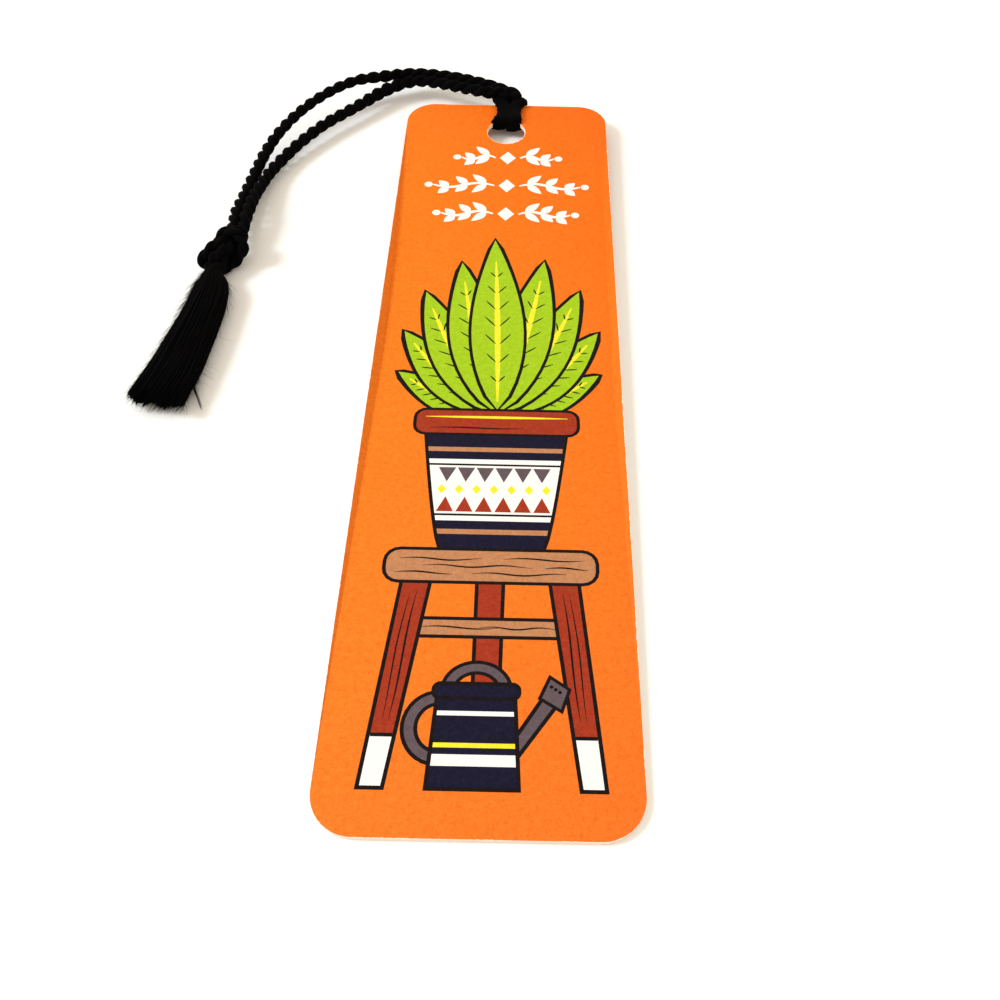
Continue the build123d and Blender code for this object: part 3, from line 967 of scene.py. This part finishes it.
wave(CX - 8.2, CX + 3.4, POT_TOP - 2.75, 0.06, 1.0, 0.24)


def ornament(cy, half, pairs):
    """A white leaf divider, the same on both sides of a small lozenge."""
    cx = 0.4
    paint(np.array([(cx - 1.25, cy), (cx, cy - 1.55), (cx + 1.25, cy), (cx, cy + 1.55)]), "white")
    for sgn in (-1, 1):
        x = np.linspace(1.9, half, 24)
        wave = 0.55 * np.sin((x - 1.9) / (half - 1.9) * math.pi * 2)
        paint(stroke(np.stack([cx + sgn * x, cy + wave], 1), 0.55, 0.5), "white")
        for k in range(pairs):
            u0 = 1.9 + (half - 2.6) * (k + 0.45) / pairs
            w0 = 0.55 * math.sin((u0 - 1.9) / (half - 1.9) * math.pi * 2)
            size = 3.0 * (1 - 0.30 * k / max(pairs - 1, 1))
            for up in (-1, 1):
                ang = up * 52 if sgn > 0 else 180 - up * 52
                paint(leaf(cx + sgn * u0, cy + w0, ang, size, 1.30, -0.10 * up * sgn), "white")
        paint(arc(cx + sgn * (half + 0.7), cy, 0.62, 0.62, 0, 345, 16), "white")


ornament(47.6 - 1.2, 7.2, 2)
ornament(40.2 - 0.6, 11.2, 3)
ornament(33.0, 9.6, 3)


def make_print():
    step = 1.5
    verts, edges = [], []

    def loop(points):
        base, n = len(verts), len(points)
        verts.extend(Vector((float(x), float(y))) for x, y in points)
        edges.extend((base + k, base + (k + 1) % n) for k in range(n))

    outline = rounded(-CARD_W / 2, -CARD_L / 2, CARD_W / 2, CARD_L / 2, CORNER_R, 14)
    loop(outline)
    for pts, k in shapes:
        loop(pts)
    loop(arc(0, HOLE_Y, HOLE_R, HOLE_R, 0, 360 - 360 / 72, 72))
    for gx in np.arange(-15.0, 15.1, step):
        for gy in np.arange(-59.0, 59.1, step):
            if math.hypot(gx, gy - HOLE_Y) > HOLE_R + 0.3:
                verts.append(Vector((float(gx), float(gy))))
    out = delaunay_2d_cdt(verts, edges, [], 0, 1e-5)
    xy = np.array([(p.x, p.y) for p in out[0]])
    tris = np.array(out[2])
    mid = xy[tris].mean(1)

    def inside(points, q):
        x0, y0 = points.min(0)
        x1, y1 = points.max(0)
        near = np.nonzero((q[:, 0] > x0) & (q[:, 0] < x1) & (q[:, 1] > y0) & (q[:, 1] < y1))[0]
        x, y = q[near, 0][:, None], q[near, 1][:, None]
        a, b = points, np.roll(points, -1, axis=0)
        cross = (a[:, 1] > y) != (b[:, 1] > y)
        with np.errstate(divide="ignore", invalid="ignore"):
            at = (b[:, 0] - a[:, 0]) * (y - a[:, 1]) / (b[:, 1] - a[:, 1]) + a[:, 0]
        return near[(np.sum(cross & (x < at), axis=1) % 2) == 1]

    colour = -np.ones(len(tris), int)
    colour[inside(outline, mid)] = 0
    for pts, k in shapes:
        hit = inside(pts, mid)
        colour[hit[colour[hit] >= 0]] = k
    colour[np.hypot(mid[:, 0], mid[:, 1] - HOLE_Y) < HOLE_R - 1e-4] = -1
    keep = tris[colour >= 0].tolist()
    slot = colour[colour >= 0].tolist()
    used = np.unique(np.concatenate([np.array(t) for t in keep]))
    index = -np.ones(len(xy), int)
    index[used] = np.arange(len(used))
    xy = xy[used]
    z = rise(xy[:, 1])
    top = np.stack([xy[:, 0], xy[:, 1], z + CARD_T], 1) * MM
    low = np.stack([xy[:, 0], xy[:, 1], z + CARD_T - SHEET_T], 1) * MM
    n = len(used)
    tri = [[int(index[q]) for q in t] for t in keep]
    rim = {}
    for t in tri:
        for a, b in zip(t, t[1:] + t[:1]):
            rim[(a, b)] = rim.get((a, b), 0) + 1
    walls = [[a, a + n, b + n, b] for (a, b) in rim if (b, a) not in rim]
    under = [[q + n for q in t[::-1]] for t in tri]
    mesh = bpy.data.meshes.new("front_print")
    mesh.from_pydata(np.concatenate([top, low]).tolist(), [], tri + walls + under)
    mesh.update()
    for m in PRINT:
        mesh.materials.append(m)
    edge_slot = len(INKS)
    mesh.polygons.foreach_set("material_index", slot + [edge_slot] * (len(walls) + len(under)))
    obj = bpy.data.objects.new("front_print", mesh)
    scene.collection.objects.link(obj)
    return obj


EDGE = paper("board_edge")
ORANGE = (0.80, 0.196, 0.0085)
ORANGE_RICH = (0.80, 0.125, 0.0055)
PRINT = [
    ink("print_ground", ORANGE, ORANGE_RICH),
    ink("print_outline", (0.0085, 0.0055, 0.0060), grain=0.6),
    ink("print_navy", (0.0085, 0.0075, 0.0240), grain=0.6),
    ink("print_rust", (0.330, 0.034, 0.012), grain=0.9),
    ink("print_tan", (0.47, 0.205, 0.092), grain=0.9),
    ink("print_mauve", (0.110, 0.078, 0.090), grain=0.8),
    ink("print_white", (0.86, 0.83, 0.79), grain=0.25),
    ink("print_lime", (0.330, 0.520, 0.012), grain=0.8),
    ink("print_yellow", (0.82, 0.72, 0.030), grain=0.6),
    EDGE,
]
front = make_print()
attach(front, "card")
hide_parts("front_print_sheet")

BACK = ink("print_back", ORANGE, ORANGE_RICH)
for name, material in (("board_core", EDGE), ("back_print_sheet", BACK)):
    obj = nodes[name]
    obj.data.materials.clear()
    obj.data.materials.append(material)

# ---------------------------------------------------------------- stage
floor_mesh = bpy.data.meshes.new("floor")
floor_mesh.from_pydata([(-4, -4, 0), (4, -4, 0), (4, 4, 0), (-4, 4, 0)], [], [(0, 1, 2, 3)])
floor_mesh.update()
floor = bpy.data.objects.new("floor", floor_mesh)
floor.location.z = -0.00002
scene.collection.objects.link(floor)
f = Nodes("pale_floor")
f.set("Base Color", f.ramp(f.noise(30.0, 3.0), [(0.3, (0.915, 0.912, 0.905)), (0.7, (0.925, 0.922, 0.918))]))
f.set("Roughness", 0.75)
f.set("Specular IOR Level", 0.15)
floor_mesh.materials.append(f.mat)

world = bpy.data.worlds.new("studio")
world.use_nodes = True
bg = world.node_tree.nodes["Background"]
bg.inputs["Color"].default_value = (1.0, 0.905, 0.775, 1.0)
bg.inputs["Strength"].default_value = 1.00
scene.world = world


def softbox(name, at, target, wide, tall, power, colour):
    data = bpy.data.lights.new(name, "AREA")
    data.shape = "RECTANGLE"
    data.size = wide
    data.size_y = tall
    data.energy = power
    data.color = colour
    obj = bpy.data.objects.new(name, data)
    obj.location = at
    obj.rotation_euler = (Vector(target) - Vector(at)).to_track_quat("-Z", "Y").to_euler()
    scene.collection.objects.link(obj)


softbox("key", (-0.681, 0.024, 0.5416), (0, 0, 0), 0.24, 0.24, 5.35, (0.80, 0.90, 1.0))

scene.view_settings.view_transform = "Standard"
scene.view_settings.look = "None"
scene.view_settings.exposure = 0.0
scene.view_settings.gamma = 1.0
